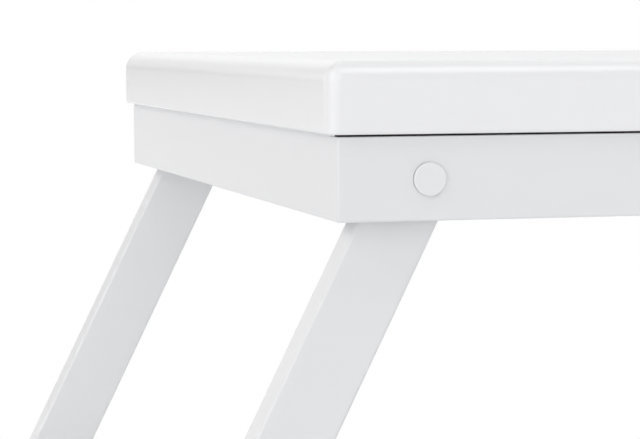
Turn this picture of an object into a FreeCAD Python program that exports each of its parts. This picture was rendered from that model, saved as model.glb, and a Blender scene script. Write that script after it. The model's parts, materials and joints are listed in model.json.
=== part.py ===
import FreeCAD, Part
import math
import os

import Sketcher
from FreeCAD import Vector
from Sketcher import Constraint

# Bed tray table, in millimetres: a thick board with rounded edges on a shallow
# box of four aprons, and two leg frames that fold up into the box. Each frame
# turns on two bolts through the long aprons. Opened, its legs splay outwards
# and lean on the lower inner arris of the end apron, which is their stop.
#
# X runs along the board, Y from front to back and Z up. The origin lies on the
# floor under the middle of the board.

SIZES = (
    # whole table
    ("tray_height", 240, "floor to the upper face of the board"),
    ("top_length", 550, "board, left to right"),
    ("top_depth", 340, "board, front to back"),
    # board
    ("top_thickness", 22, "board"),
    ("top_edge_round", 7, "round along the upper edge of the board"),
    ("top_under_ease", 1.2, "chamfer along the lower edge of the board"),
    ("corner_ease", 0.5, "plan radius of a board corner, beyond the upper round"),
    ("end_overhang", 3.5, "board beyond an end apron"),
    ("side_overhang", 2, "board beyond a long apron"),
    # aprons
    ("apron_thickness", 9, "all four aprons"),
    ("apron_gap", 0.6, "air between a long apron and the board"),
    ("apron_ease", 0.6, "chamfers of the outer arrises of the aprons"),
    # legs
    ("leg_width", 23.1, "wide face of a leg"),
    ("leg_thickness", 12, "narrow face of a leg"),
    ("leg_ease", 0.8, "chamfers of the arrises of the wide faces"),
    ("splay_angle", 26.25, "opened leg from upright, in degrees"),
    ("fold_recess", 1, "folded leg above the lower edge of the aprons"),
    ("eye_clearance", 1.9, "folded leg below the board"),
    ("stop_clearance", 0.3, "opened leg from the arris that stops it"),
    ("side_clearance", 0.3, "leg from the washer on either side"),
    # stretchers
    ("stretcher_rise", 55, "floor to the middle of a stretcher"),
    ("stretcher_width", 22, "stretcher, along the leg"),
    ("stretcher_thickness", 12, "stretcher, across the leg"),
    ("stretcher_round", 1.5, "rounded arrises of a stretcher"),
    # pivot bolts, with low heads sunk in the long aprons
    ("bolt_radius", 2.5, "shank"),
    ("bolt_head_radius", 4, "head"),
    ("bolt_head_height", 2.5, "head"),
    ("bolt_tail", 1, "tip beyond the lock nut"),
    ("bolt_clearance", 0.08, "bores round the shank"),
    ("key_across", 3, "hexagonal socket, across its flats"),
    ("key_depth", 1.5, "hexagonal socket"),
    ("head_clearance", 0.2, "counterbore round the head"),
    # caps pressed into the counterbores
    ("cap_rim", 0.85, "cap beyond the edge of its counterbore"),
    ("cap_proud", 1.2, "disc of a cap"),
    ("cap_ease", 0.35, "chamfer round the disc"),
    ("cap_stub", 1.2, "plug behind the disc"),
    ("cap_stub_clearance", 0.05, "plug inside the counterbore"),
    ("cap_head_air", 0.6, "plug from the bolt head"),
    # washers and lock nuts
    ("spacer_radius", 7, "washer between apron and leg"),
    ("spacer_thickness", 0.8, "washer between apron and leg"),
    ("washer_radius", 6, "washer between leg and nut"),
    ("washer_thickness", 1, "washer between leg and nut"),
    ("nut_across", 8, "lock nut, across its flats"),
    ("nut_height", 3.6, "hexagon of a lock nut"),
    ("collar_radius", 3.6, "round collar of a lock nut"),
    ("collar_height", 1.2, "round collar of a lock nut"),
    # tongues of the end aprons, in grooves of the long ones
    ("tongue_thickness", 4, "tongue, level with the inner face of its end apron"),
    ("tongue_length", 3, "tongue beyond the shoulder"),
    ("tongue_stop", 5, "lower edge of an apron to the tongue"),
    # tenons of the stretchers, in mortises of the legs
    ("tenon_thickness", 6, "tenon, across the leg"),
    ("tenon_width", 15, "tenon, along the leg"),
    ("tenon_length", 8, "tenon beyond the shoulder"),
    ("glue_line", 0.05, "tongue or tenon from the wall of its groove or mortise"),
    ("glue_room", 0.5, "groove or mortise beyond the tip of its tongue or tenon"),
    # cleats glued behind the end aprons, and their screws into the board
    ("cleat_section", 14, "square cleat"),
    ("cleat_end_air", 6, "end of a cleat from the tip of a pivot bolt"),
    ("cleat_ease", 1, "chamfer along the free arris of a cleat"),
    ("screw_radius", 1.75, "shank"),
    ("screw_head_radius", 3.4, "countersunk head"),
    ("screw_point", 3, "point of a screw"),
    ("screw_clearance", 0.05, "hole round a screw"),
    ("screw_air", 0.5, "hole beyond the point of a screw"),
    ("slot_width", 0.8, "cross recess of a screw head"),
    ("slot_length", 3.6, "cross recess of a screw head"),
    ("slot_depth", 1, "cross recess of a screw head"),
    ("board_bite", 13, "screw in the board"),
    ("board_screw_spacing", 170, "between the two screws of a cleat"),
)

# Places and sizes that follow from the driving dimensions.
PLACES = (
    ("corner_radius", "Sizes.top_edge_round + Sizes.corner_ease"),
    ("apron_height", "Sizes.fold_recess + Sizes.leg_width + Sizes.eye_clearance"),
    ("side_height", "Places.apron_height - Sizes.apron_gap"),
    ("apron_bottom", "Sizes.tray_height - Sizes.top_thickness - Places.apron_height"),
    ("apron_length", "Sizes.top_length - 2 * Sizes.end_overhang"),
    ("frame_depth", "Sizes.top_depth - 2 * Sizes.side_overhang"),
    ("end_length", "Places.frame_depth - 2 * Sizes.apron_thickness"),
    # the pivot, so that the splayed leg meets the end apron's lower inner arris
    ("pivot_rise", "Sizes.fold_recess + Sizes.leg_width / 2"),
    ("pivot_height", "Places.apron_bottom + Places.pivot_rise"),
    ("splay_sine", "sin(Sizes.splay_angle * 1deg)"),
    ("splay_cosine", "cos(Sizes.splay_angle * 1deg)"),
    ("stop_reach", "Sizes.leg_width / 2 + Sizes.stop_clearance + Places.pivot_rise * Places.splay_sine"),
    ("pivot_inset", "Sizes.apron_thickness + Places.stop_reach / Places.splay_cosine"),
    ("pivot_x", "Places.apron_length / 2 - Places.pivot_inset"),
    ("leg_reach", "Places.pivot_height / Places.splay_cosine"),
    ("foot_slope", "Sizes.leg_width / 2 * Places.splay_sine / Places.splay_cosine"),
    # across the table, from the outer face of a long apron inwards
    ("head_in", "Sizes.cap_stub + Sizes.cap_head_air"),
    ("counterbore_depth", "Places.head_in + Sizes.bolt_head_height"),
    ("counterbore_radius", "Sizes.bolt_head_radius + Sizes.head_clearance"),
    ("leg_in", "Sizes.apron_thickness + Sizes.spacer_thickness + Sizes.side_clearance"),
    ("washer_in", "Places.leg_in + Sizes.leg_thickness + Sizes.side_clearance"),
    ("nut_in", "Places.washer_in + Sizes.washer_thickness"),
    ("tip_in", "Places.nut_in + Sizes.nut_height + Sizes.collar_height + Sizes.bolt_tail"),
    ("bolt_length", "Places.tip_in - Places.head_in"),
    ("leg_outer", "Places.frame_depth / 2 - Places.leg_in"),
    ("leg_inner", "Places.leg_outer - Sizes.leg_thickness"),
    ("bore_radius", "Sizes.bolt_radius + Sizes.bolt_clearance"),
    # stretchers
    ("stretcher_drop", "(Places.pivot_height - Sizes.stretcher_rise) / Places.splay_cosine"),
    ("stretcher_length", "2 * Places.leg_inner"),
    # grooves and mortises
    ("groove_near", "Places.apron_length / 2 - Sizes.apron_thickness - Sizes.glue_line"),
    ("groove_far", "Places.groove_near + Sizes.tongue_thickness + 2 * Sizes.glue_line"),
    ("groove_foot", "Sizes.tongue_stop - Sizes.glue_line"),
    ("groove_depth", "Sizes.tongue_length + Sizes.glue_room"),
    ("mortise_half_thickness", "Sizes.tenon_thickness / 2 + Sizes.glue_line"),
    ("mortise_half_width", "Sizes.tenon_width / 2 + Sizes.glue_line"),
    ("mortise_depth", "Sizes.tenon_length + Sizes.glue_room"),
    # cleats and screws
    ("cleat_length", "2 * (Places.frame_depth / 2 - Places.tip_in - Sizes.cleat_end_air)"),
    ("cleat_x", "Places.apron_length / 2 - Sizes.apron_thickness - Sizes.cleat_section / 2"),
    ("cleat_bottom", "Sizes.tray_height - Sizes.top_thickness - Sizes.cleat_section"),
    ("screw_bore", "Sizes.screw_radius + Sizes.screw_clearance"),
    ("screw_cone", "Sizes.screw_head_radius - Sizes.screw_radius"),
    ("board_screw_length", "Sizes.cleat_section + Sizes.board_bite"),
)

LEFT, RIGHT = -1, 1
FRONT, REAR = -1, 1
SIDE_NAMES = {LEFT: "left", RIGHT: "right"}
DEPTH_NAMES = {FRONT: "front", REAR: "rear"}
CORNERS = [(side, depth) for depth in (FRONT, REAR) for side in (LEFT, RIGHT)]
TINY = 1e-4

doc = FreeCAD.newDocument("bed_tray_table")


# ---------------------------------------------------------------- the sheets

def write_sheet(name, rows):
    """A sheet with one named value in each row."""
    sheet = doc.addObject("Spreadsheet::Sheet", name)
    for row, (alias, text, note) in enumerate(rows, start=1):
        sheet.set(f"A{row}", alias)
        sheet.set(f"B{row}", text)
        sheet.set(f"C{row}", note)
        sheet.setAlias(f"B{row}", alias)
    doc.recompute()
    return sheet


sizes = write_sheet("Sizes", [(alias, str(value), note) for alias, value, note in SIZES])
places = write_sheet("Places", [(alias, "=" + formula, "") for alias, formula in PLACES])


# ------------------------------------------------- sketches and their features

def new_body(label):
    body = doc.addObject("PartDesign::Body", label)
    body.Label = label
    return body


def new_sketch(body, plane, name, offset="0"):
    """A sketch on an origin plane of its body, lifted by offset along the normal."""
    support = next(f for f in body.Origin.OriginFeatures if f.Role == plane + "_Plane")
    sketch = body.newObject("Sketcher::SketchObject", name)
    sketch.AttachmentSupport = [(support, "")]
    sketch.MapMode = "FlatFace"
    sketch.setExpression("AttachmentOffset.Base.z", offset)
    return sketch


def bind(sketch, constraint, expression):
    index = sketch.addConstraint(constraint)
    sketch.setExpression(f"Constraints[{index}]", expression)


def polygon(sketch, corners):
    """A closed outline through corners, each an (x, y) pair of expressions."""
    count = len(corners)
    first = sketch.GeometryCount
    start = [Vector(math.cos(turn), math.sin(turn), 0)
             for turn in (2 * math.pi * i / count for i in range(count))]
    for i in range(count):
        sketch.addGeometry(Part.LineSegment(start[i], start[(i + 1) % count]), False)
    for i in range(count):
        following = first + (i + 1) % count
        sketch.addConstraint(Constraint("Coincident", first + i, 2, following, 1))
    for i, (x, y) in enumerate(corners):
        bind(sketch, Constraint("DistanceX", -1, 1, first + i, 1, 1.0), x)
        bind(sketch, Constraint("DistanceY", -1, 1, first + i, 1, 1.0), y)


def rectangle(sketch, left, low, right, high):
    polygon(sketch, [(left, low), (right, low), (right, high), (left, high)])


def hexagon(sketch, across):
    """A regular hexagon round the origin, with two flats square to X."""
    flat, half_side, point = f"{across} / 2", f"{across} / 2 * tan(30deg)", f"{across} / 2 / cos(30deg)"
    polygon(sketch, [(flat, f"-({half_side})"), (flat, half_side), ("0", point),
                     (f"-({flat})", half_side), (f"-({flat})", f"-({half_side})"), ("0", f"-({point})")])


def circle(sketch, x, y, radius):
    index = sketch.addGeometry(Part.Circle(Vector(1, 1, 0), Vector(0, 0, 1), 1), False)
    bind(sketch, Constraint("DistanceX", -1, 1, index, 3, 1.0), x)
    bind(sketch, Constraint("DistanceY", -1, 1, index, 3, 1.0), y)
    bind(sketch, Constraint("Radius", index, 1.0), radius)


def pad(body, sketch, name, length):
    """A pad along the sketch's normal."""
    feature = body.newObject("PartDesign::Pad", name)
    feature.Profile = sketch
    feature.setExpression("Length", length)
    doc.recompute()
    return feature


def pocket(body, sketch, name, depth, along_normal=False):
    """A pocket against the sketch's normal, or along it. It has to take wood away."""
    before = body.Shape.Volume
    feature = body.newObject("PartDesign::Pocket", name)
    feature.Profile = sketch
    feature.Reversed = along_normal
    feature.setExpression("Length", depth)
    doc.recompute()
    if body.Shape.Volume > before - TINY:
        raise RuntimeError(f"{body.Label}: {name} takes nothing away")
    return feature


def dress(body, kind, name, size_name, size, wanted):
    """A fillet or chamfer on the edges of the body for which wanted(edge) is true."""
    base = body.Tip
    edges = [f"Edge{i}" for i, edge in enumerate(base.Shape.Edges, start=1) if wanted(edge)]
    feature = body.newObject("PartDesign::" + kind, name)
    feature.Base = (base, edges)
    feature.setExpression(size_name, size)
    doc.recompute()
    return feature


def fillet(body, name, radius, wanted):
    return dress(body, "Fillet", name, "Radius", radius, wanted)


def chamfer(body, name, size, wanted):
    return dress(body, "Chamfer", name, "Size", size, wanted)


def turned(label, outline):
    """A body turned about Z from an outline of (radius, height) expressions."""
    body = new_body(label)
    sketch = new_sketch(body, "XZ", label + "_outline")
    polygon(sketch, outline)
    feature = body.newObject("PartDesign::Revolution", label + "_turn")
    feature.Profile = sketch
    feature.ReferenceAxis = (sketch, ["V_Axis"])
    feature.Angle = 360
    doc.recompute()
    return body


def is_line(edge):
    return isinstance(edge.Curve, (Part.Line, Part.LineSegment))


def is_circle(edge, radius):
    return isinstance(edge.Curve, Part.Circle) and abs(edge.Curve.Radius - radius) < TINY


def lies_at(edge, axis, level):
    """True where the whole edge lies at that level of X, Y or Z."""
    box = edge.BoundBox
    return (abs(getattr(box, axis + "Min") - level) < TINY
            and abs(getattr(box, axis + "Max") - level) < TINY)


def place(obj, x, y, z, axis=("0", "0", "1"), angle="0"):
    """Binds the placement: the base point and the turn about an axis."""
    base = f"vector({x}; {y}; {z})"
    turn = f"rotation(vector({axis[0]}; {axis[1]}; {axis[2]}); {angle})"
    obj.setExpression("Placement", f"placement({base}; {turn})")


def place_inward(obj, x, z, depth, distance):
    """Points the local Z of obj inwards from a long apron, distance behind its outer face."""
    place(obj, x, f"{depth} * (Places.frame_depth / 2 - {distance})", z, ("1", "0", "0"), f"{depth * 90}")


def group(label, bodies):
    """Identical small pieces that share one file."""
    compound = doc.addObject("Part::Compound", label)
    compound.Label = label
    compound.Links = bodies
    doc.recompute()
    return compound


# ------------------------------------------------------------- board and aprons

def make_top_board():
    """The board, centred on its own origin with its lower face at zero height."""
    body = new_body("top_board")
    sketch = new_sketch(body, "XY", "board_plan")
    rectangle(sketch, "-Sizes.top_length / 2", "-Sizes.top_depth / 2",
              "Sizes.top_length / 2", "Sizes.top_depth / 2")
    pad(body, sketch, "board", "Sizes.top_thickness")
    fillet(body, "board_corners", "Places.corner_radius",
           lambda edge: edge.BoundBox.ZLength > TINY)
    fillet(body, "upper_round", "Sizes.top_edge_round",
           lambda edge: lies_at(edge, "Z", sizes.top_thickness))
    chamfer(body, "lower_ease", "Sizes.top_under_ease",
            lambda edge: lies_at(edge, "Z", 0))
    pilots = new_sketch(body, "XY", "pilot_plan")
    for side in (LEFT, RIGHT):
        for step in (-1, 1):
            circle(pilots, f"{side} * Places.cleat_x", f"{step} * Sizes.board_screw_spacing / 2",
                   "Places.screw_bore")
    pocket(body, pilots, "pilots", "Sizes.board_bite + Sizes.screw_air", along_normal=True)
    place(body, "0", "0", "Sizes.tray_height - Sizes.top_thickness")
    return body


def make_long_apron(depth):
    """A long apron from its lower edge up, with its outer face towards local -Y.

    It runs the whole length, so its end grain shows at both ends of the box. Its
    grooves stop short of the lower edge, so they don't show from below.
    """
    body = new_body(f"{DEPTH_NAMES[depth]}_apron")
    face = new_sketch(body, "XZ", "apron_face")
    rectangle(face, "-Places.apron_length / 2", "0", "Places.apron_length / 2", "Places.side_height")
    for side in (LEFT, RIGHT):
        circle(face, f"{side} * Places.pivot_x", "Places.pivot_rise", "Places.bore_radius")
    pad(body, face, "apron", "Sizes.apron_thickness")

    counterbores = new_sketch(body, "XZ", "counterbore_face", "Sizes.apron_thickness")
    for side in (LEFT, RIGHT):
        circle(counterbores, f"{side} * Places.pivot_x", "Places.pivot_rise", "Places.counterbore_radius")
    pocket(body, counterbores, "counterbores", "Places.counterbore_depth")

    grooves = new_sketch(body, "XZ", "groove_face")
    for side in (LEFT, RIGHT):
        rectangle(grooves, f"{side} * Places.groove_near", "Places.groove_foot",
                  f"{side} * Places.groove_far", "Places.side_height")
    pocket(body, grooves, "grooves", "Places.groove_depth", along_normal=True)

    def is_outer_arris(edge):
        at_face = lies_at(edge, "Y", -sizes.apron_thickness)
        at_foot = lies_at(edge, "Z", 0)
        at_end = lies_at(edge, "X", -places.apron_length / 2) or lies_at(edge, "X", places.apron_length / 2)
        return is_line(edge) and [at_face, at_foot, at_end].count(True) == 2

    chamfer(body, "outer_arrises", "Sizes.apron_ease", is_outer_arris)
    place(body, "0", f"{depth} * (Places.frame_depth / 2 - Sizes.apron_thickness)", "Places.apron_bottom",
          angle="180" if depth == REAR else "0")
    return body


def make_end_apron(side):
    """An end apron between the long ones, with its outer face at local X zero.

    The strip along its inner face runs on at both ends, as the tongues.
    """
    body = new_body(f"{SIDE_NAMES[side]}_end_apron")
    face = new_sketch(body, "YZ", "end_face")
    rectangle(face, "-Places.end_length / 2", "0", "Places.end_length / 2", "Places.apron_height")
    pad(body, face, "apron", "Sizes.apron_thickness")

    tongues = new_sketch(body, "XZ", "tongue_section", "-Places.end_length / 2 - Sizes.tongue_length")
    rectangle(tongues, "Sizes.apron_thickness - Sizes.tongue_thickness", "Sizes.tongue_stop",
              "Sizes.apron_thickness", "Places.side_height")
    pad(body, tongues, "tongues", "Places.end_length + 2 * Sizes.tongue_length")

    chamfer(body, "outer_arris", "Sizes.apron_ease",
            lambda edge: lies_at(edge, "X", 0) and lies_at(edge, "Z", 0))
    place(body, f"{side} * Places.apron_length / 2", "0", "Places.apron_bottom",
          angle="180" if side == RIGHT else "0")
    return body


def make_cleat(side):
    """A square cleat glued behind an end apron, countersunk from below."""
    body = new_body(f"{SIDE_NAMES[side]}_cleat")
    plan = new_sketch(body, "XY", "cleat_plan")
    rectangle(plan, "-Sizes.cleat_section / 2", "-Places.cleat_length / 2",
              "Sizes.cleat_section / 2", "Places.cleat_length / 2")
    for step in (-1, 1):
        circle(plan, "0", f"{step} * Sizes.board_screw_spacing / 2", "Places.screw_bore")
    pad(body, plan, "cleat", "Sizes.cleat_section")
    chamfer(body, "free_arris", "Sizes.cleat_ease",
            lambda edge: is_line(edge) and lies_at(edge, "X", sizes.cleat_section / 2)
            and lies_at(edge, "Z", 0))
    chamfer(body, "countersinks", "Places.screw_cone",
            lambda edge: is_circle(edge, places.screw_bore) and lies_at(edge, "Z", 0))
    place(body, f"{side} * Places.cleat_x", "0", "Places.cleat_bottom",
          angle="180" if side == RIGHT else "0")
    return body


# ------------------------------------------------------------------ leg frames

def place_in_frame(body, side, distance, y):
    """Turns a piece to the splay of its leg frame, distance down the leg from the pivot."""
    x = f"{side} * (Places.pivot_x + {distance} * Places.splay_sine)"
    z = f"Places.pivot_height - {distance} * Places.splay_cosine"
    if side == LEFT:
        place(body, x, y, z, ("0", "1", "0"), "Sizes.splay_angle")
    else:
        # the left one, turned half round the upright
        axis = ("-sin(Sizes.splay_angle * 0.5deg)", "0", "cos(Sizes.splay_angle * 0.5deg)")
        place(body, x, y, z, axis, "180")


def make_leg(side, depth):
    """A flat leg: a round eye about the pivot, parallel edges, and a foot cut level.

    The pivot is the local origin, the leg hangs down local Z, and its wide
    faces lie at local Y zero and at minus its thickness.
    """
    body = new_body(f"{SIDE_NAMES[side]}_{DEPTH_NAMES[depth]}_leg")
    outline = new_sketch(body, "XZ", "leg_outline")
    half, reach = sizes.leg_width / 2, places.leg_reach
    eye_left, eye_right = Vector(-half, 0, 0), Vector(half, 0, 0)
    foot_left, foot_right = Vector(-half, -reach, 0), Vector(half, -reach, 0)
    eye = Part.Circle(Vector(0, 0, 0), Vector(0, 0, 1), half)
    outline.addGeometry(Part.ArcOfCircle(eye, 0, math.pi), False)
    outline.addGeometry(Part.LineSegment(eye_left, foot_left), False)
    outline.addGeometry(Part.LineSegment(foot_left, foot_right), False)
    outline.addGeometry(Part.LineSegment(foot_right, eye_right), False)
    for constraint in (
            Constraint("Coincident", 0, 2, 1, 1),
            Constraint("Coincident", 1, 2, 2, 1),
            Constraint("Coincident", 2, 2, 3, 1),
            Constraint("Coincident", 3, 2, 0, 1),
            Constraint("Coincident", 0, 3, -1, 1),
            Constraint("PointOnObject", 0, 1, -1),
            Constraint("PointOnObject", 0, 2, -1),
            Constraint("Vertical", 1),
            Constraint("Vertical", 3)):
        outline.addConstraint(constraint)
    bind(outline, Constraint("Radius", 0, half), "Sizes.leg_width / 2")
    bind(outline, Constraint("DistanceY", -1, 1, 1, 2, -reach), "-Places.leg_reach - Places.foot_slope")
    bind(outline, Constraint("DistanceY", -1, 1, 2, 2, -reach), "-Places.leg_reach + Places.foot_slope")
    circle(outline, "0", "0", "Places.bore_radius")
    pad(body, outline, "leg", "Sizes.leg_thickness")

    # the stretcher's tenon goes in from the face towards the middle of the table
    inner_is_zero = side * depth == 1
    mouth = new_sketch(body, "XZ", "mortise_mouth", "0" if inner_is_zero else "Sizes.leg_thickness")
    half_across, half_along = "Places.mortise_half_thickness", "Places.mortise_half_width"
    rectangle(mouth, f"-{half_across}", f"-Places.stretcher_drop - {half_along}",
              half_across, f"-Places.stretcher_drop + {half_along}")
    pocket(body, mouth, "mortise", "Places.mortise_depth", along_normal=inner_is_zero)

    def is_face_arris(edge):
        on_face = lies_at(edge, "Y", 0) or lies_at(edge, "Y", -sizes.leg_thickness)
        at_side = lies_at(edge, "X", -half) or lies_at(edge, "X", half)
        return on_face and (is_circle(edge, half) or (is_line(edge) and at_side))

    chamfer(body, "arrises", "Sizes.leg_ease", is_face_arris)
    base_y = "Places.leg_inner" if inner_is_zero else "Places.leg_outer"
    place_in_frame(body, side, "0", f"{depth} * {base_y}")
    return body


def make_stretcher(side):
    """The rail between the two legs of a frame, along local -Y from the origin.

    Its core runs on at both ends, as the tenons.
    """
    body = new_body(f"{SIDE_NAMES[side]}_stretcher")
    section = new_sketch(body, "XZ", "stretcher_section")
    rectangle(section, "-Sizes.stretcher_thickness / 2", "-Sizes.stretcher_width / 2",
              "Sizes.stretcher_thickness / 2", "Sizes.stretcher_width / 2")
    pad(body, section, "stretcher", "Places.stretcher_length")
    fillet(body, "arrises", "Sizes.stretcher_round", lambda edge: edge.BoundBox.YLength > TINY)
    tenons = new_sketch(body, "XZ", "tenon_section", "-Sizes.tenon_length")
    rectangle(tenons, "-Sizes.tenon_thickness / 2", "-Sizes.tenon_width / 2",
              "Sizes.tenon_thickness / 2", "Sizes.tenon_width / 2")
    pad(body, tenons, "tenons", "Places.stretcher_length + 2 * Sizes.tenon_length")
    place_in_frame(body, side, "Places.stretcher_drop", f"{-side} * Places.leg_inner")
    return body


# ---------------------------------------------------------------- pivot hardware

def make_cap(side, depth):
    """A flat disc with a chamfered edge and a plug that fills the mouth of the counterbore."""
    cap_radius = "(Places.counterbore_radius + Sizes.cap_rim)"
    plug_radius = "(Places.counterbore_radius - Sizes.cap_stub_clearance)"
    body = turned(f"{DEPTH_NAMES[depth]}_{SIDE_NAMES[side]}_cap", [
        ("0", "-Sizes.cap_proud"), (cap_radius, "-Sizes.cap_proud"), (cap_radius, "0"),
        (plug_radius, "0"), (plug_radius, "Sizes.cap_stub"), ("0", "Sizes.cap_stub")])
    chamfer(body, "disc_ease", "Sizes.cap_ease",
            lambda edge: lies_at(edge, "Z", -sizes.cap_proud))
    place_inward(body, f"{side} * Places.pivot_x", "Places.pivot_height", depth, "0")
    return body


def make_bolt(side, depth):
    """A low-headed bolt with a hexagonal socket; local Z runs from its head to its tip."""
    body = turned(f"{DEPTH_NAMES[depth]}_{SIDE_NAMES[side]}_bolt", [
        ("0", "0"),
        ("Sizes.bolt_head_radius", "0"),
        ("Sizes.bolt_head_radius", "Sizes.bolt_head_height"),
        ("Sizes.bolt_radius", "Sizes.bolt_head_height"),
        ("Sizes.bolt_radius", "Places.bolt_length"),
        ("0", "Places.bolt_length")])
    socket = new_sketch(body, "XY", "socket")
    hexagon(socket, "Sizes.key_across")
    pocket(body, socket, "socket_recess", "Sizes.key_depth", along_normal=True)
    place_inward(body, f"{side} * Places.pivot_x", "Places.pivot_height", depth, "Places.head_in")
    return body


def make_washer(label, side, depth, radius, thickness, distance):
    body = new_body(label)
    sketch = new_sketch(body, "XY", "washer_plan")
    circle(sketch, "0", "0", radius)
    circle(sketch, "0", "0", "Places.bore_radius")
    pad(body, sketch, "washer", thickness)
    place_inward(body, f"{side} * Places.pivot_x", "Places.pivot_height", depth, distance)
    return body


def make_lock_nut(label, side, depth):
    """A hexagon with a round collar that holds its locking ring."""
    body = new_body(label)
    plan = new_sketch(body, "XY", "nut_plan")
    hexagon(plan, "Sizes.nut_across")
    circle(plan, "0", "0", "Places.bore_radius")
    pad(body, plan, "nut", "Sizes.nut_height")
    collar = new_sketch(body, "XY", "collar_plan", "Sizes.nut_height")
    circle(collar, "0", "0", "Sizes.collar_radius")
    circle(collar, "0", "0", "Places.bore_radius")
    pad(body, collar, "collar", "Sizes.collar_height")
    place_inward(body, f"{side} * Places.pivot_x", "Places.pivot_height", depth, "Places.nut_in")
    return body


# ----------------------------------------------------------------------- screws

def make_screw(label, length):
    """A countersunk screw with a cross recess; local Z runs from its head to its point."""
    body = turned(label, [
        ("0", "0"),
        ("Sizes.screw_head_radius", "0"),
        ("Sizes.screw_radius", "Places.screw_cone"),
        ("Sizes.screw_radius", f"{length} - Sizes.screw_point"),
        ("0", length)])
    half, half_width = "Sizes.slot_length / 2", "Sizes.slot_width / 2"
    for name, across, along in (("slot", half, half_width), ("cross_slot", half_width, half)):
        sketch = new_sketch(body, "XY", name)
        rectangle(sketch, f"-{across}", f"-{along}", across, along)
        pocket(body, sketch, name + "_recess", "Sizes.slot_depth", along_normal=True)
    return body


def make_board_screws():
    """Two screws up through each cleat into the board."""
    screws = []
    for side in (LEFT, RIGHT):
        for step in (-1, 1):
            screw = make_screw(f"board_screw_{len(screws) + 1}", "Places.board_screw_length")
            place(screw, f"{side} * Places.cleat_x", f"{step} * Sizes.board_screw_spacing / 2",
                  "Places.cleat_bottom")
            screws.append(screw)
    return group("board_screws", screws)


# ---------------------------------------------------------------- the assembly

sub_parts = [make_top_board()]
sub_parts += [make_long_apron(depth) for depth in (FRONT, REAR)]
sub_parts += [make_end_apron(side) for side in (LEFT, RIGHT)]
sub_parts += [make_cleat(side) for side in (LEFT, RIGHT)]
sub_parts += [make_cap(side, depth) for side, depth in CORNERS]
sub_parts += [make_bolt(side, depth) for side, depth in CORNERS]
sub_parts += [
    group("spacer_washers", [
        make_washer(f"spacer_washer_{i}", side, depth, "Sizes.spacer_radius", "Sizes.spacer_thickness",
                    "Sizes.apron_thickness")
        for i, (side, depth) in enumerate(CORNERS, start=1)]),
    group("nut_washers", [
        make_washer(f"nut_washer_{i}", side, depth, "Sizes.washer_radius", "Sizes.washer_thickness",
                    "Places.washer_in")
        for i, (side, depth) in enumerate(CORNERS, start=1)]),
    group("lock_nuts", [
        make_lock_nut(f"lock_nut_{i}", side, depth)
        for i, (side, depth) in enumerate(CORNERS, start=1)]),
    make_board_screws(),
]
for frame_side in (LEFT, RIGHT):
    sub_parts += [make_leg(frame_side, depth) for depth in (FRONT, REAR)]
    sub_parts.append(make_stretcher(frame_side))

doc.recompute()
for obj in doc.Objects:
    if "Invalid" in obj.State or "Error" in obj.State:
        raise RuntimeError(f"{obj.Label} did not build: {obj.State}")
for part in sub_parts:
    if part.Shape.isNull() or not part.Shape.isValid() or part.Shape.Volume < TINY:
        raise RuntimeError(f"{part.Label} has no valid solid")

os.makedirs("parts", exist_ok=True)
for part in sub_parts:
    part.Shape.exportStep(f"parts/{part.Label}.step")
print(f"{len(sub_parts)} sub-parts, {sum(len(part.Shape.Solids) for part in sub_parts)} solids")
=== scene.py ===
"""The bed tray table in its looks: white lacquered boards, plastic caps and plated hardware.

Everything is in metres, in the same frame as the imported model: X runs along the
board, Y from front to back and Z up from the floor.
"""
import json
import math
import bpy
import numpy as np
from mathutils import Matrix, Quaternion, Vector


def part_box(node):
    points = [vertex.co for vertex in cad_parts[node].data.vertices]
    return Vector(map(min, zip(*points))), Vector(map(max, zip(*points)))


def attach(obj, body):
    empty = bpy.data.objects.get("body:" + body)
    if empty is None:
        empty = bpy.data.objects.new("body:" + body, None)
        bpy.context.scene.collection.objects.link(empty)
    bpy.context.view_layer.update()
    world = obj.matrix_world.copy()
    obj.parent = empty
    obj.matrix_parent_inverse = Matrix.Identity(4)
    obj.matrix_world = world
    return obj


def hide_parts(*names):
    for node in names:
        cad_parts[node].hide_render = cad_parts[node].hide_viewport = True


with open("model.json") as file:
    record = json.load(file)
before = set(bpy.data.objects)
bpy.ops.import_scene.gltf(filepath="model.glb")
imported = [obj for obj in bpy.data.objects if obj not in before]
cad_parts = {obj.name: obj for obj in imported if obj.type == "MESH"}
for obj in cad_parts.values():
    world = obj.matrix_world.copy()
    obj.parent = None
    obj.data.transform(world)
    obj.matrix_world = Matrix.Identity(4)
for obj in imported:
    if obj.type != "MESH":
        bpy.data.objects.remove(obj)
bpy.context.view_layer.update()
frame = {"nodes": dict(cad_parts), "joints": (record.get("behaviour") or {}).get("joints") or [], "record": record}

MM = 0.001
NEXT_TO_NOTHING = 1e-9


# ------------------------------------------------------------------ surfaces

def add_mesh(name, points, faces, normals, material, body):
    """Puts points, faces and one normal for each face corner into a piece that rides on body."""
    mesh = bpy.data.meshes.new(name)
    mesh.from_pydata(points.tolist(), [], [list(face) for face in faces])
    mesh.polygons.foreach_set("use_smooth", np.ones(len(mesh.polygons), bool))
    mesh.normals_split_custom_set(normals.tolist())
    mesh.materials.append(material)
    piece = bpy.data.objects.new(name, mesh)
    bpy.context.scene.collection.objects.link(piece)
    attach(piece, body)
    return piece


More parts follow.
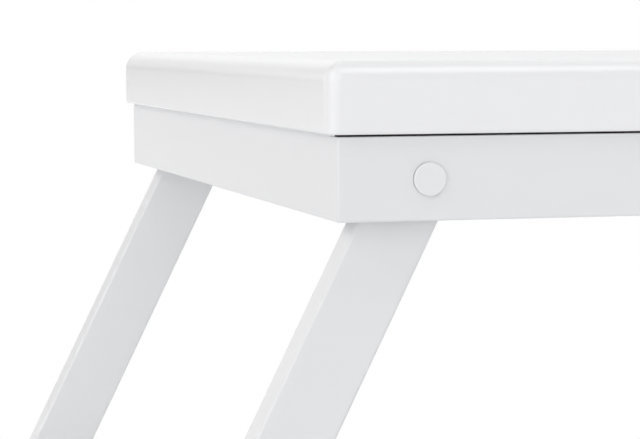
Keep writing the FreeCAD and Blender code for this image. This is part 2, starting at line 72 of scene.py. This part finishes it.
def stacked_rings(rings, normals, lowest, highest):
    """Faces and corner normals of a closed stack of rings (k, n, 3), with a flat cap at each end.

    Ring i and ring i + 1 are joined by quads, and every corner takes the
    normal of its own ring's point. Rings, or neighbours along a ring, in the
    same place only change the normal, and get no quads. The caps face lowest
    and highest.
    """
    count, around = rings.shape[:2]
    here = np.arange(around)
    there = (here + 1) % around
    apart = np.linalg.norm(rings[0, there] - rings[0, here], axis=1) > NEXT_TO_NOTHING
    here, there = here[apart], there[apart]
    faces, corners = [], []
    for i in range(count - 1):
        if np.allclose(rings[i], rings[i + 1]):
            continue
        low, high = i * around, (i + 1) * around
        faces += np.stack([low + here, low + there, high + there, high + here], axis=1).tolist()
        below, above = normals[i], normals[i + 1]
        turns = [below[here], below[there], above[there], above[here]]
        corners.append(np.stack(turns, axis=1).reshape(-1, 3))
    faces.append(here[::-1].tolist())
    corners.append(np.tile(lowest, (len(here), 1)))
    faces.append(((count - 1) * around + here).tolist())
    corners.append(np.tile(highest, (len(here), 1)))
    return faces, np.concatenate(corners)


def edge_section(thickness, low_round, high_round, steps=6):
    """The edge of a plate as rows of inset, height and lean.

    It is a quarter round, the straight edge and a quarter round. lean is the
    angle of the surface from the plan's outward direction: minus a quarter turn
    on the lower face, zero on the edge and a quarter turn on the upper face.
    inset = r (1 - cos lean), and height = r sin lean from each round's centre.
    """
    low, high = np.linspace(-math.pi / 2, 0, steps + 1), np.linspace(0, math.pi / 2, steps + 1)
    below = [low_round * (1 - np.cos(low)), low_round * (1 + np.sin(low)), low]
    above = [high_round * (1 - np.cos(high)), thickness - high_round * (1 - np.sin(high)), high]
    return np.concatenate([np.stack(below, axis=1), np.stack(above, axis=1)])


def plate(name, plan, section, place, material, body):
    """A plate: its plan outline moved inwards and up along the rows of its edge section.

    plan holds, for each outline point, the point, the way in which the inset
    moves it, the way in which its edge faces, how much of the lean its normal
    takes and its way along the mitre of a tight corner, and last the inset at
    which the mitre starts. A point is outline - inset * shift up to there, and
    goes on along the mitre. Its normal is facing * cos(lean) + up * sin(lean).
    place puts it in the row frame.
    """
    outline, shift, facing, give, mitre, mitre_start = plan
    inset, height, lean = section.T
    soft = np.minimum(inset, mitre_start)
    deep = inset - soft
    flat = outline[None] - soft[:, None, None] * shift[None] - deep[:, None, None] * mitre[None]
    level = np.broadcast_to(height[:, None, None], flat.shape[:2] + (1,))
    rings = np.concatenate([flat, level], axis=2)
    turn = lean[:, None] * give[None]
    outward = np.cos(turn)[..., None] * facing[None]
    normals = np.concatenate([outward, np.sin(turn)[..., None]], axis=2)
    place = np.array(place)
    rings = rings @ place[:3, :3].T + place[:3, 3]
    normals = normals @ place[:3, :3].T
    up = place[:3, 2]
    faces, corners = stacked_rings(rings, normals, -up, up)
    return add_mesh(name, rings.reshape(-1, 3), faces, corners, material, body)


def rounded_rectangle(length, depth, radius, steps=12):
    """Plan of a rectangle with round corners.

    Each corner is centre + r (cos t, sin t) through a quarter turn. Where the
    inset is deeper than the radius, less a hair, the two edges meet in a mitre,
    as a cutter that follows the outline leaves them.
    """
    hair = 0.4 * MM
    turn = np.linspace(0, math.pi / 2, steps + 1)[None] + np.arange(4)[:, None] * math.pi / 2
    facing = np.stack([np.cos(turn), np.sin(turn)], axis=2)
    signs = np.array([(1, 1), (-1, 1), (-1, -1), (1, -1)])
    centres = signs * (np.array([length, depth]) / 2 - radius)
    points = (centres[:, None] + radius * facing).reshape(-1, 2)
    facing = facing.reshape(-1, 2)
    give, mitre = np.ones(len(points)), np.repeat(signs, steps + 1, axis=0)
    return points, facing, facing, give, mitre, radius - hair


def circle_plan(radius, around=96):
    """Plan of a disc: r (cos t, sin t) through a whole turn."""
    turn = np.arange(around) * 2 * math.pi / around
    facing = np.stack([np.cos(turn), np.sin(turn)], axis=1)
    return radius * facing, facing, facing, np.ones(around), facing, radius


def leg_plan(half, reach, slope, steps=32):
    """Plan of a leg: half a circle about the pivot, two parallel edges and a level foot.

    The eye is half * (cos t, sin t) for t from 0 to pi. The foot's two corners
    lie at -reach -/+ slope; an inset slides them along the foot, which stays sharp.
    """
    turn = np.linspace(0, math.pi, steps + 1)
    eye = np.stack([np.cos(turn), np.sin(turn)], axis=1)
    left, right = np.array([-half, -reach - slope]), np.array([half, -reach + slope])
    along = (right - left) / (right - left)[0]
    down = np.array([slope, -half]) / math.hypot(slope, half)
    points = np.concatenate([half * eye, [left, left, right, right]])
    shift = np.concatenate([eye, [-along, -along, along, along]])
    facing = np.concatenate([eye, [(-1, 0), down, down, (1, 0)]])
    give = np.concatenate([np.ones(steps + 1), [1, 0, 0, 1]])
    return points, shift, facing, give, shift, half


def eased_box(low, high, rounds, steps=4):
    """Points, faces and corner normals of a board with rounded arrises where both faces carry a radius.

    rounds is the radius at the low and the high end of each axis. On each face
    a grid of points p is pulled in to c + r * q * max|q| / |q|, where c is the
    nearest point of the core (the box less its radii), r holds the three radii
    there and q = (p - c) / r. The normal is q / r, made one long. A face
    without a radius stays flat.
    """
    low, high, rounds = np.array(low, float), np.array(high, float), np.array(rounds, float)
    core_low, core_high = low + rounds[:, 0], high - rounds[:, 1]
    ease = np.tan(np.linspace(0, math.pi / 4, steps + 1))
    lines = []
    for first, last, (low_round, high_round) in zip(core_low, core_high, rounds):
        lines.append(np.unique(np.concatenate([first - low_round * ease, last + high_round * ease])))
    points, faces, corners, start = [], [], [], 0
    for axis in range(3):
        u, v = (axis + 1) % 3, (axis + 2) % 3
        for end, level in ((0, low[axis]), (1, high[axis])):
            grid_u, grid_v = np.meshgrid(lines[u], lines[v], indexing="ij")
            p = np.empty(grid_u.shape + (3,))
            p[..., axis], p[..., u], p[..., v] = level, grid_u, grid_v
            c = np.clip(p, core_low, core_high)
            r = np.where(p > c, rounds[:, 1], rounds[:, 0])
            r = np.where(r > 0, r, 1)
            q = (p - c) / r
            length = np.linalg.norm(q, axis=-1, keepdims=True)
            outside = length > NEXT_TO_NOTHING
            safe = np.where(outside, length, 1)
            flat = np.zeros(3)
            flat[axis] = 2 * end - 1
            normal = np.broadcast_to(flat, p.shape)
            if rounds[axis, end] > 0:
                lean = np.where(outside, q / r, flat)
                normal = lean / np.linalg.norm(lean, axis=-1, keepdims=True)
            surface = c + r * q * np.abs(q).max(axis=-1, keepdims=True) / safe
            rows, columns = grid_u.shape
            index = start + np.arange(rows * columns).reshape(rows, columns)
            turns = [index[:-1, :-1], index[1:, :-1], index[1:, 1:], index[:-1, 1:]]
            quads = np.stack(turns, axis=-1).reshape(-1, 4)
            if end == 0:
                quads = quads[:, ::-1]
            faces.append(quads)
            points.append(surface.reshape(-1, 3))
            corners.append(normal.reshape(-1, 3)[quads - start].reshape(-1, 3))
            start += rows * columns
    return np.concatenate(points), np.concatenate(faces), np.concatenate(corners)


def joined(name, surfaces, material, body, place=None):
    """One piece from several surfaces, put in its place in the row frame."""
    points = np.concatenate([surface[0] for surface in surfaces])
    starts = np.cumsum([0] + [len(surface[0]) for surface in surfaces])
    faces = np.concatenate([surface[1] + start for surface, start in zip(surfaces, starts)])
    corners = np.concatenate([surface[2] for surface in surfaces])
    if place is not None:
        place = np.array(place)
        points = points @ place[:3, :3].T + place[:3, 3]
        corners = corners @ place[:3, :3].T
    return add_mesh(name, points, faces.tolist(), corners, material, body)


# ----------------------------------------------------------------- materials

def new_group(name, inputs, outputs):
    """An empty shader group with (kind, name, default) sockets and its two end nodes."""
    group = bpy.data.node_groups.new(name, "ShaderNodeTree")
    for kind, label, default in inputs:
        made = group.interface.new_socket(
            name=label, in_out="INPUT", socket_type="NodeSocket" + kind)
        made.default_value = default
    for kind, label in outputs:
        group.interface.new_socket(name=label, in_out="OUTPUT", socket_type="NodeSocket" + kind)
    return group, group.nodes.new("NodeGroupInput"), group.nodes.new("NodeGroupOutput")


def noise(tree, scale, detail, roughness=0.5, stretch=None):
    """Noise in the piece's own coordinates; stretch squeezes it along each axis."""
    coordinates = tree.nodes.new("ShaderNodeTexCoord")
    made = tree.nodes.new("ShaderNodeTexNoise")
    made.inputs["Scale"].default_value = scale
    made.inputs["Detail"].default_value = detail
    made.inputs["Roughness"].default_value = roughness
    vector = coordinates.outputs["Object"]
    if stretch is not None:
        mapping = tree.nodes.new("ShaderNodeMapping")
        mapping.inputs["Scale"].default_value = stretch
        tree.links.new(vector, mapping.inputs["Vector"])
        vector = mapping.outputs["Vector"]
    tree.links.new(vector, made.inputs["Vector"])
    return made.outputs["Fac"]


def spread(tree, value, low, high):
    """Maps a 0..1 value to low..high."""
    made = tree.nodes.new("ShaderNodeMapRange")
    made.inputs["To Min"].default_value = low
    made.inputs["To Max"].default_value = high
    tree.links.new(value, made.inputs["Value"])
    return made.outputs["Result"]


def sprayed_skin():
    """Sprayed or moulded skin: faint clouds in the colour, uneven gloss and the orange peel's height."""
    cloud_scale, gloss_scale, peel_scale, gloss_spread = 9, 25, 700, 0.01
    inputs = [("Color", "Colour", (0.8, 0.8, 0.8, 1)), ("Float", "Roughness", 0.4),
              ("Float", "Clouds", 0.02)]
    outputs = [("Color", "Colour"), ("Float", "Roughness"), ("Float", "Peel")]
    group, given, result = new_group("sprayed_skin", inputs, outputs)
    clouds = noise(group, cloud_scale, detail=3)
    shade = group.nodes.new("ShaderNodeMapRange")
    group.links.new(clouds, shade.inputs["Value"])
    less = group.nodes.new("ShaderNodeMath")
    less.operation = "SUBTRACT"
    less.inputs[0].default_value = 1
    group.links.new(given.outputs["Clouds"], less.inputs[1])
    group.links.new(less.outputs[0], shade.inputs["To Min"])
    shade.inputs["To Max"].default_value = 1
    tint = group.nodes.new("ShaderNodeMix")
    tint.data_type = "RGBA"
    tint.blend_type = "MULTIPLY"
    tint.inputs["Factor"].default_value = 1
    group.links.new(given.outputs["Colour"], tint.inputs["A"])
    group.links.new(shade.outputs["Result"], tint.inputs["B"])
    group.links.new(tint.outputs["Result"], result.inputs["Colour"])

    uneven = spread(group, noise(group, gloss_scale, detail=2), -gloss_spread, gloss_spread)
    rough = group.nodes.new("ShaderNodeMath")
    rough.operation = "ADD"
    group.links.new(given.outputs["Roughness"], rough.inputs[0])
    group.links.new(uneven, rough.inputs[1])
    group.links.new(rough.outputs[0], result.inputs["Roughness"])
    group.links.new(noise(group, peel_scale, detail=2), result.inputs["Peel"])
    return group


SKIN = sprayed_skin()


def skin_material(name, colour, roughness, clouds, peel):
    """A painted or moulded finish.

    clouds is the share of the colour that the clouds take off, and peel is the
    depth of the orange peel in metres.
    """
    material = bpy.data.materials.new(name)
    material.use_nodes = True
    tree = material.node_tree
    shader = tree.nodes["Principled BSDF"]
    skin = tree.nodes.new("ShaderNodeGroup")
    skin.node_tree = SKIN
    skin.inputs["Colour"].default_value = (*colour, 1)
    skin.inputs["Roughness"].default_value = roughness
    skin.inputs["Clouds"].default_value = clouds
    bump = tree.nodes.new("ShaderNodeBump")
    bump.inputs["Distance"].default_value = peel
    tree.links.new(skin.outputs["Peel"], bump.inputs["Height"])
    tree.links.new(skin.outputs["Colour"], shader.inputs["Base Color"])
    tree.links.new(skin.outputs["Roughness"], shader.inputs["Roughness"])
    tree.links.new(bump.outputs["Normal"], shader.inputs["Normal"])
    return material


def streaked_material(name, colour, roughness, metallic, stretch, darkening, depth):
    """Brushed metal, or the near-black painted shade in the apron slit: noise drawn out along one axis moves
    colour, gloss and height.

    stretch squeezes the streaks along each axis, darkening is the share that
    they take off the colour, and depth is theirs in metres.
    """
    material = bpy.data.materials.new(name)
    material.use_nodes = True
    tree = material.node_tree
    shader = tree.nodes["Principled BSDF"]
    shader.inputs["Metallic"].default_value = metallic
    streaks = noise(tree, 1, detail=4, roughness=0.6, stretch=stretch)
    mix = tree.nodes.new("ShaderNodeMix")
    mix.data_type = "RGBA"
    mix.inputs["A"].default_value = (*[c * (1 - darkening) for c in colour], 1)
    mix.inputs["B"].default_value = (*colour, 1)
    tree.links.new(streaks, mix.inputs["Factor"])
    tree.links.new(mix.outputs["Result"], shader.inputs["Base Color"])
    gloss = spread(tree, streaks, roughness * 0.8, roughness * 1.2)
    tree.links.new(gloss, shader.inputs["Roughness"])
    bump = tree.nodes.new("ShaderNodeBump")
    bump.inputs["Distance"].default_value = depth
    tree.links.new(streaks, bump.inputs["Height"])
    tree.links.new(bump.outputs["Normal"], shader.inputs["Normal"])
    return material


board_white = skin_material("board_lacquer", (0.810, 0.815, 0.828), 0.24, 0.010, 0.000004)
frame_white = skin_material("frame_lacquer", (0.752, 0.759, 0.773), 0.28, 0.015, 0.000004)
cap_white = skin_material("cap_white", (0.765, 0.775, 0.790), 0.40, 0.01, 0.000002)
nylon_white = skin_material("natural_nylon", (0.76, 0.74, 0.68), 0.45, 0.03, 0.00001)
ALONG_BOARD, ALONG_Z = (200, 1400, 1400), (900, 900, 120)
# painted shade: a near-black brown that darkens the apron slit's floor and back, where only shade falls
slit_shade_material = streaked_material(
    "painted_slit_shade", (0.055, 0.042, 0.036), 0.8, 0, ALONG_BOARD, 0.4, 0.00004)
zinc = streaked_material(
    "bright_zinc", (0.62, 0.63, 0.65), 0.32, 1, ALONG_Z, 0.25, 0.00001)
yellow_zinc = streaked_material(
    "yellow_zinc", (0.70, 0.60, 0.40), 0.34, 1, ALONG_Z, 0.25, 0.00001)


# -------------------------------------------------------------------- pieces

SLOT_MATERIALS = {
    "board_lacquer": board_white,
    "frame_lacquer": frame_white,
    "cap_plastic": cap_white,
    "nylon": nylon_white,
    "plated_steel": zinc,
    "screw_steel": yellow_zinc,
}
for row in frame["record"]["subparts"]:
    node = frame["nodes"][row["node"]]
    node.data.materials.clear()
    node.data.materials.append(SLOT_MATERIALS[row["material_slot"]])


SPLAY = math.radians(26.25)
SIDES = {"left": -1, "right": 1}
DEPTHS = {"front": -1, "rear": 1}
LEG_WIDTH = 23.1 * MM
SQUARE = (0, 0)


def stands_for(node):
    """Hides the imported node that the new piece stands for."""
    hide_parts(node)


def board():
    """The top board, with a wide round above and a small one below."""
    corner_radius, lower_round, upper_round, round_steps = 4.5 * MM, 1 * MM, 7 * MM, 14
    low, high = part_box("top_board")
    size = high - low
    plan = rounded_rectangle(size.x, size.y, corner_radius)
    section = edge_section(size.z, lower_round, upper_round, round_steps)
    place = Matrix.Translation((0, 0, low.z))
    piece = plate("board", plan, section, place, board_white, "tray")
    stands_for("top_board")


def long_aprons():
    """The front and rear aprons, with eased outer arrises.

    Each carries the board on the inner part of its upper edge. The outer part
    is cut back into a fine slit, whose floor and back are coloured near black as painted shade.
    """
    ease, fine_ease, slit_depth, touch = 0.8 * MM, 0.3 * MM, 3 * MM, 0.02 * MM
    looking_up = 0.99
    board_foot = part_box("top_board")[0].z - touch
    for name, y in DEPTHS.items():
        low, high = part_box(name + "_apron")
        outer_rounds = (ease, 0) if y < 0 else (0, ease)
        panel = eased_box(low, high, ((ease, ease), outer_rounds, (ease, fine_ease)))
        inner, outer = sorted((abs(low.y), abs(high.y)))
        near, far = sorted((y * inner, y * (outer - slit_depth)))
        strip = eased_box((low.x, near, high.z), (high.x, far, board_foot), (SQUARE, SQUARE, SQUARE))
        piece = joined(name + "_apron_board", (panel, strip), frame_white, "tray")
        mesh = piece.data
        mesh.materials.append(slit_shade_material)
        facing = np.empty(len(mesh.polygons) * 3)
        centres = np.empty(len(mesh.polygons) * 3)
        mesh.polygons.foreach_get("normal", facing)
        mesh.polygons.foreach_get("center", centres)
        facing, centres = facing.reshape(-1, 3), centres.reshape(-1, 3)
        # painted shade: the slit's floor and back take the near-black colour, and the strip's ends keep the
        # lacquer
        shade_faces = (facing[:, 2] > looking_up) | (centres[:, 2] > high.z + touch / 2)
        shade_faces &= np.abs(centres[:, 0]) < high.x - touch
        mesh.polygons.foreach_set("material_index", shade_faces.astype(np.int32))
        stands_for(name + "_apron")


def end_aprons():
    """The left and right aprons between the long ones, without the tongues that these hide."""
    ease, tongue = 0.8 * MM, 3 * MM
    for name, x in SIDES.items():
        low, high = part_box(name + "_end_apron")
        low.y, high.y = low.y + tongue, high.y - tongue
        outer_rounds = (ease, 0) if x < 0 else (0, ease)
        panel = eased_box(low, high, (outer_rounds, SQUARE, (ease, 0)))
        piece = joined(name + "_end_board", (panel,), frame_white, "tray")
        stands_for(name + "_end_apron")


def frame_turn(side):
    """The turn of a leg frame from upright to its splay."""
    splay = Matrix.Rotation(SPLAY, 4, "Y")
    return splay if side < 0 else Matrix.Rotation(math.pi, 4, "Z") @ splay


def legs():
    """Four flat legs: the plan lies in the wide face, and its plate stands across the table."""
    ease, ease_steps = 1.2 * MM, 5
    half = LEG_WIDTH / 2
    # the plate's height runs to local -Y, its plan's second axis up
    lie = Matrix.Rotation(math.pi / 2, 4, "X")
    for side_name, side in SIDES.items():
        hinge = next(j for j in frame["joints"] if j["name"] == side_name + "_leg_hinge")
        pivot = hinge["pos_m"]
        for depth_name in DEPTHS:
            node = f"{side_name}_{depth_name}_leg"
            low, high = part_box(node)
            plan = leg_plan(half, pivot[2] / math.cos(SPLAY), half * math.tan(SPLAY))
            section = edge_section(high.y - low.y, ease, ease, ease_steps)
            start = high.y if side < 0 else low.y
            place = Matrix.Translation((pivot[0], start, pivot[2])) @ frame_turn(side) @ lie
            piece = plate(node + "_board", plan, section, place, frame_white, f"{side_name}_leg_frame")
            stands_for(node)


def stretchers():
    """A rail between the two legs of each frame, with rounded arrises along its length.

    The tenons at its ends are hidden in the legs and left out.
    """
    ease, tenon, half_thickness, half_height = 1.5 * MM, 8 * MM, 6 * MM, 11 * MM
    for side_name, side in SIDES.items():
        node = side_name + "_stretcher"
        low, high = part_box(node)
        middle = (low + high) / 2
        half = Vector((half_thickness, (high.y - low.y) / 2 - tenon, half_height))
        place = Matrix.Translation(middle) @ frame_turn(side)
        rail = eased_box(-half, half, ((ease, ease), SQUARE, (ease, ease)))
        piece = joined(node + "_rail", (rail,), frame_white, f"{side_name}_leg_frame", place)
        stands_for(node)


def caps():
    """A flat disc with a soft rim over each pivot, on a plug that fills the counterbore."""
    proud, plug, rim, ease, back = 1.2 * MM, 1.2 * MM, 0.9 * MM, 0.4 * MM, 0.45 * MM
    quarter_turn = math.pi / 2
    disc = edge_section(proud, back, ease, 8)
    disc[:, 1] += plug
    stem = np.array([(rim, 0, 0), (rim, plug, 0), (rim, plug, -quarter_turn), (0, plug, -quarter_turn)])
    section = np.concatenate([stem, disc])
    for side_name in SIDES:
        for depth_name, depth in DEPTHS.items():
            node = f"{depth_name}_{side_name}_cap"
            low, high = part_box(node)
            plan = circle_plan((high.x - low.x) / 2)
            inner = high.y if depth < 0 else low.y
            place = Matrix.Translation(((low.x + high.x) / 2, inner, (low.z + high.z) / 2))
            place = place @ Matrix.Rotation(quarter_turn * -depth, 4, "X")
            piece = plate(node + "_disc", plan, section, place, cap_white, "tray")
            stands_for(node)


board()
long_aprons()
end_aprons()
legs()
stretchers()
caps()


# ----------------------------------------------------- floor, light and camera

def light_stage():
    """A white floor that keeps the shadow near the table and fades to pure white around it.

    The fade runs over shares of an ellipse about the table, by its half axes.
    """
    reach, half_axes, fade_start, fade_end = 12, (0.60, 0.42), 0.72, 1.10
    mesh = bpy.data.meshes.new("floor")
    outline = [(-reach, -reach, 0), (reach, -reach, 0), (reach, reach, 0), (-reach, reach, 0)]
    mesh.from_pydata(outline, [], [(0, 1, 2, 3)])
    floor = bpy.data.objects.new("floor", mesh)
    bpy.context.scene.collection.objects.link(floor)
    material = bpy.data.materials.new("floor_paper")
    material.use_nodes = True
    tree = material.node_tree
    tree.nodes.clear()
    out = tree.nodes.new("ShaderNodeOutputMaterial")
    paper = tree.nodes.new("ShaderNodeBsdfDiffuse")
    paper.inputs["Color"].default_value = (0.86, 0.86, 0.87, 1)
    glow = tree.nodes.new("ShaderNodeEmission")
    glow.inputs["Color"].default_value = (1, 1, 1, 1)
    glow.inputs["Strength"].default_value = 1
    path = tree.nodes.new("ShaderNodeLightPath")
    where = tree.nodes.new("ShaderNodeTexCoord")
    shrink = tree.nodes.new("ShaderNodeMapping")
    shrink.inputs["Scale"].default_value = (1 / half_axes[0], 1 / half_axes[1], 1)
    tree.links.new(where.outputs["Object"], shrink.inputs["Vector"])
    distance = tree.nodes.new("ShaderNodeVectorMath")
    distance.operation = "LENGTH"
    tree.links.new(shrink.outputs["Vector"], distance.inputs[0])
    fade = tree.nodes.new("ShaderNodeMapRange")
    fade.interpolation_type = "SMOOTHSTEP"
    fade.inputs["From Min"].default_value = fade_start
    fade.inputs["From Max"].default_value = fade_end
    tree.links.new(distance.outputs["Value"], fade.inputs["Value"])
    seen = tree.nodes.new("ShaderNodeMath")
    seen.operation = "MAXIMUM"
    tree.links.new(path.outputs["Is Camera Ray"], seen.inputs[0])
    tree.links.new(path.outputs["Is Glossy Ray"], seen.inputs[1])
    far = tree.nodes.new("ShaderNodeMath")
    far.operation = "MULTIPLY"
    tree.links.new(seen.outputs[0], far.inputs[0])
    tree.links.new(fade.outputs["Result"], far.inputs[1])
    # what the paper throws back at the table, beyond what the lamps give it
    bounce = tree.nodes.new("ShaderNodeEmission")
    bounce.inputs["Color"].default_value = (1, 1, 1, 1)
    lift = tree.nodes.new("ShaderNodeMath")
    lift.operation = "MULTIPLY"
    lift.inputs[1].default_value = FLOOR_GLOW
    tree.links.new(path.outputs["Is Diffuse Ray"], lift.inputs[0])
    tree.links.new(lift.outputs[0], bounce.inputs["Strength"])
    lit = tree.nodes.new("ShaderNodeAddShader")
    tree.links.new(paper.outputs[0], lit.inputs[0])
    tree.links.new(bounce.outputs[0], lit.inputs[1])
    mix = tree.nodes.new("ShaderNodeMixShader")
    tree.links.new(far.outputs[0], mix.inputs["Fac"])
    tree.links.new(lit.outputs[0], mix.inputs[1])
    tree.links.new(glow.outputs[0], mix.inputs[2])
    tree.links.new(mix.outputs[0], out.inputs["Surface"])
    mesh.materials.append(material)


def toward(azimuth, elevation):
    """The unit vector to a light. Azimuth 0 stands in front and 90 to the left, in degrees."""
    a, e = math.radians(azimuth), math.radians(elevation)
    return Vector((-math.sin(a) * math.cos(e), -math.cos(a) * math.cos(e), math.sin(e)))


def studio_world():
    """The room: a sum of round soft windows, each even in its middle and fading outwards.

    The camera sees plain white instead.
    """
    world = bpy.data.worlds.new("studio")
    bpy.context.scene.world = world
    world.use_nodes = True
    tree = world.node_tree
    tree.nodes.clear()
    out = tree.nodes.new("ShaderNodeOutputWorld")
    direction = tree.nodes.new("ShaderNodeTexCoord")
    total = None
    for azimuth, elevation, radiance, (even, end), colour in WINDOWS:
        along = tree.nodes.new("ShaderNodeVectorMath")
        along.operation = "DOT_PRODUCT"
        along.inputs[1].default_value = toward(azimuth, elevation)
        tree.links.new(direction.outputs["Generated"], along.inputs[0])
        window = tree.nodes.new("ShaderNodeMapRange")
        window.interpolation_type = "SMOOTHSTEP"
        window.inputs["From Min"].default_value = math.cos(math.radians(end))
        window.inputs["From Max"].default_value = math.cos(math.radians(even))
        tree.links.new(along.outputs["Value"], window.inputs["Value"])
        joint = tree.nodes.new("ShaderNodeVectorMath")
        joint.operation = "MULTIPLY_ADD"
        tree.links.new(window.outputs["Result"], joint.inputs[0])
        joint.inputs[1].default_value = radiance * Vector(colour)
        if total is not None:
            tree.links.new(total, joint.inputs[2])
        total = joint.outputs["Vector"]
    lit = tree.nodes.new("ShaderNodeBackground")
    tree.links.new(total, lit.inputs["Color"])
    seen = tree.nodes.new("ShaderNodeBackground")
    seen.inputs["Color"].default_value = (1, 1, 1, 1)
    path = tree.nodes.new("ShaderNodeLightPath")
    mix = tree.nodes.new("ShaderNodeMixShader")
    tree.links.new(path.outputs["Is Camera Ray"], mix.inputs["Fac"])
    tree.links.new(lit.outputs[0], mix.inputs[1])
    tree.links.new(seen.outputs[0], mix.inputs[2])
    tree.links.new(mix.outputs[0], out.inputs["Surface"])


def softbox(name, target, azimuth, elevation, distance, width, height, radiance):
    """An area lamp that looks at target from the way of toward().

    Its power follows from the radiance that it shows: watts = radiance * area * pi.
    """
    data = bpy.data.lights.new(name, "AREA")
    data.shape = "RECTANGLE"
    data.size, data.size_y = width, height
    data.energy = radiance * width * height * math.pi
    lamp = bpy.data.objects.new(name, data)
    bpy.context.scene.collection.objects.link(lamp)
    away = toward(azimuth, elevation)
    lamp.location = Vector(target) + distance * away
    lamp.rotation_mode = "QUATERNION"
    lamp.rotation_quaternion = away.to_track_quat("Z", "Y")
    lamp.visible_camera = False


def photo_camera(place, yaw, pitch, roll):
    """The camera. Its turns are in degrees: yaw to the right of straight back, pitch up, and roll."""
    sensor_width, focal_length = 36, 128.84
    data = bpy.data.cameras.new("camera")
    data.sensor_width = sensor_width
    data.lens = focal_length
    camera = bpy.data.objects.new("camera", data)
    bpy.context.scene.collection.objects.link(camera)
    bpy.context.scene.camera = camera
    camera.location = place
    yaw, pitch, roll = math.radians(yaw), math.radians(pitch), math.radians(roll)
    sight = Vector((math.sin(yaw) * math.cos(pitch), math.cos(yaw) * math.cos(pitch), math.sin(pitch)))
    camera.rotation_mode = "QUATERNION"
    camera.rotation_quaternion = sight.to_track_quat("-Z", "Y") @ Quaternion((0, 0, 1), roll)


FLOOR_GLOW = 0.22
# half widths in degrees: of a window's even middle, and out to where it ends
WIDE, NARROW, BACKDROP = (12, 32), (8, 18), (18, 32)
PLAIN, WARM = (1, 1, 1), (1, 0.985, 0.97)
# azimuth, elevation, radiance, half widths and colour of each window
WINDOWS = (
    (0, 6, 0.95, WIDE, PLAIN),
    (40, 6, 1.38, WIDE, PLAIN),
    (-80, 6, 1.44, WIDE, PLAIN),
    (-120, 30, 1.50, WIDE, PLAIN),
    (0, 88, 0.35, WIDE, PLAIN),
    (180, 30, 0.35, WIDE, PLAIN),
    (-155, 55, 0.75, WIDE, PLAIN),
    (-162, 5, 0.90, BACKDROP, PLAIN),
    (75, 20, 1.20, WIDE, WARM),
    (95, 62, 0.78, WIDE, WARM),
    (75, 40, 2.52, NARROW, WARM),
    (150, 10, 2.55, NARROW, WARM),
    (5, 38, 2.59, NARROW, PLAIN),
)

light_stage()
studio_world()
softbox("top_softbox", target=(-0.2, -0.1, 0.22), azimuth=-36, elevation=62, distance=1.6,
        width=0.8, height=0.68, radiance=3.2)
photo_camera(place=(-0.44876, -0.81647, 0.24726), yaw=14.852, pitch=-4.604, roll=-0.125)

bpy.context.scene.view_settings.view_transform = "Standard"
